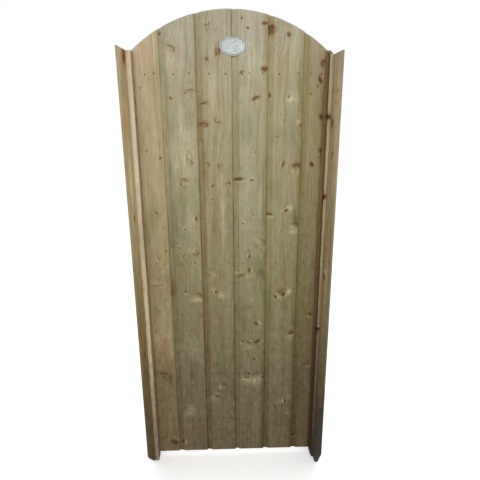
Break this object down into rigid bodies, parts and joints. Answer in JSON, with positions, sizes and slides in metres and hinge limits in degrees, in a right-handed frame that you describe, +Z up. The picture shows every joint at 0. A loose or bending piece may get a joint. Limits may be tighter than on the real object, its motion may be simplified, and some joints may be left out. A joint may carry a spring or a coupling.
{
  "type": "arched boarded side gate with jamb boards",
  "caption": "Close-boarded softwood side gate with an arched head, ledged and braced behind, hung on strap hinges between two deep feathered jamb boards with sawn stops.",
  "frame": {"origin": "on the outer face of the hinge jamb, at its foot, level with the front face of the boards", "axes": "+X from the hinge jamb to the latch jamb, +Y from the boarded front to the ledged back, +Z up"},
  "size_m": [0.722, 0.22, 1.818],
  "materials": {
    "board_wood": "pressure-treated softwood, planed, green-tan with knots",
    "jamb_wood": "pressure-treated softwood, sawn, greyed at the front edge",
    "stop_wood": "pale sawn softwood, left rough",
    "ledge_wood": "pressure-treated softwood, sawn",
    "hinge_steel": "black painted steel",
    "plate_metal": "pale painted metal, satin"
  },
  "bodies": {
    "frame": {"hinge_jamb": "jamb_wood", "latch_jamb": "jamb_wood", "hinge_stop": "stop_wood", "latch_stop": "stop_wood", "upper_hook": "hinge_steel", "lower_hook": "hinge_steel"},
    "leaf": {"board_1": "board_wood", "board_2": "board_wood", "board_3": "board_wood", "board_4": "board_wood", "board_5": "board_wood", "board_6": "board_wood", "top_ledge": "ledge_wood", "middle_ledge": "ledge_wood", "bottom_ledge": "ledge_wood", "upper_brace": "ledge_wood", "lower_brace": "ledge_wood", "upper_strap": "hinge_steel", "lower_strap": "hinge_steel", "oval_plate": "plate_metal"}
  },
  "joints": [
    {"name": "gate_hinge", "type": "hinge", "parent": "frame", "child": "leaf", "pos_m": [0.03667, 0.0481, 0.101], "axis": [0, 0, 1], "range_deg": [0, 90]}
  ]
}
